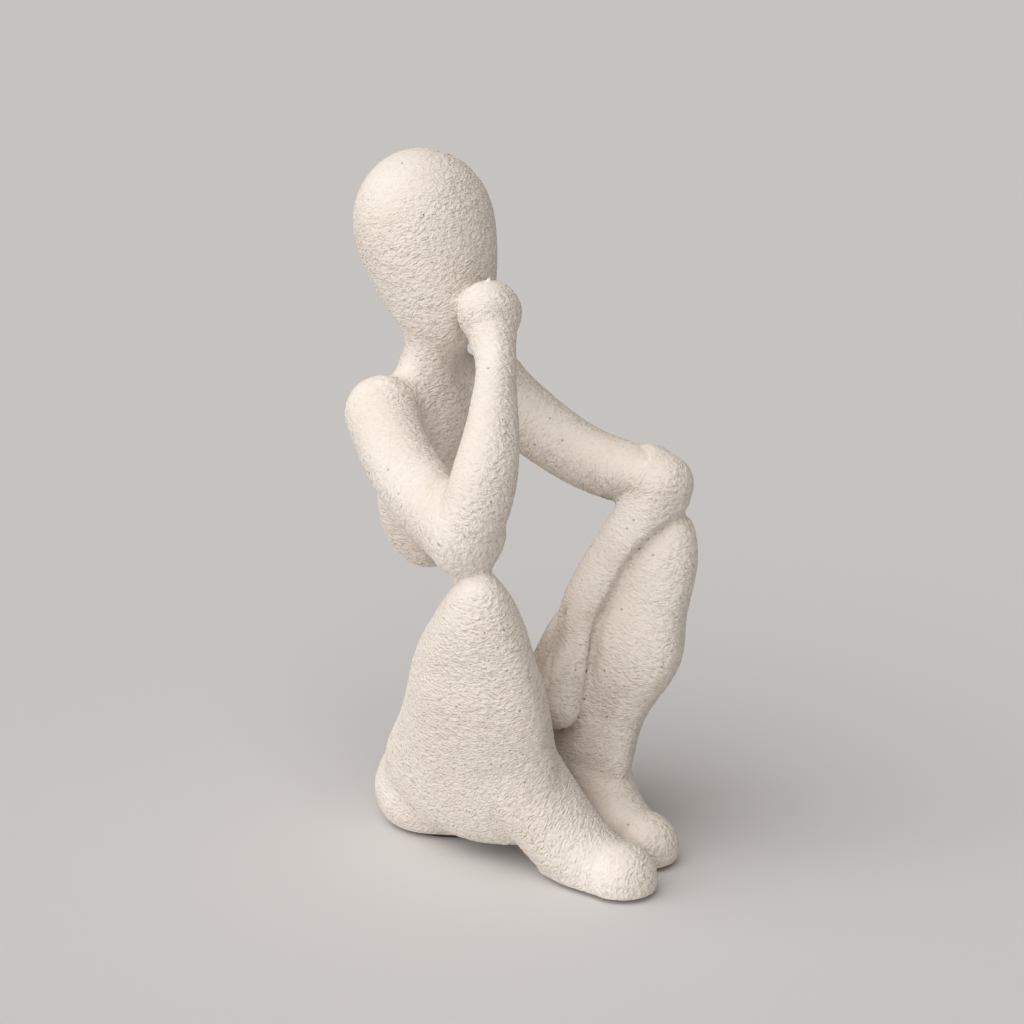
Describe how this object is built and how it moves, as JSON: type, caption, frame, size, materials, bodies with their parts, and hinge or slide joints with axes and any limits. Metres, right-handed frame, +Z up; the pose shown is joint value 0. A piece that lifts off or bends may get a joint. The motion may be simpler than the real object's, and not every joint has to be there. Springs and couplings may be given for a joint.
{
  "type": "thinker statue",
  "caption": "Seated abstract figure in rippled cast stone resin, a faceless egg head resting on one hand and the other arm over a raised knee; a tabletop ornament.",
  "frame": {"origin": "centre of the bounding box on the ground plane, under the figure", "axes": "+Z up, the figure faces -Y, its own left side is +X"},
  "size_m": [0.1092, 0.151, 0.2491],
  "materials": {
    "cast_stone": "matt off-white cast resin with fine rippled relief",
    "dowel_steel": "plain drawn steel",
    "pad_rubber": "matt dark rubber"
  },
  "bodies": {
    "root": {"head": "cast_stone", "torso": "cast_stone", "hips": "cast_stone", "right_arm": "cast_stone", "left_arm": "cast_stone", "right_leg": "cast_stone", "left_leg": "cast_stone", "dowel_pins": "dowel_steel", "seat_pad": "pad_rubber", "right_foot_pad": "pad_rubber", "left_foot_pad": "pad_rubber"}
  },
  "joints": []
}
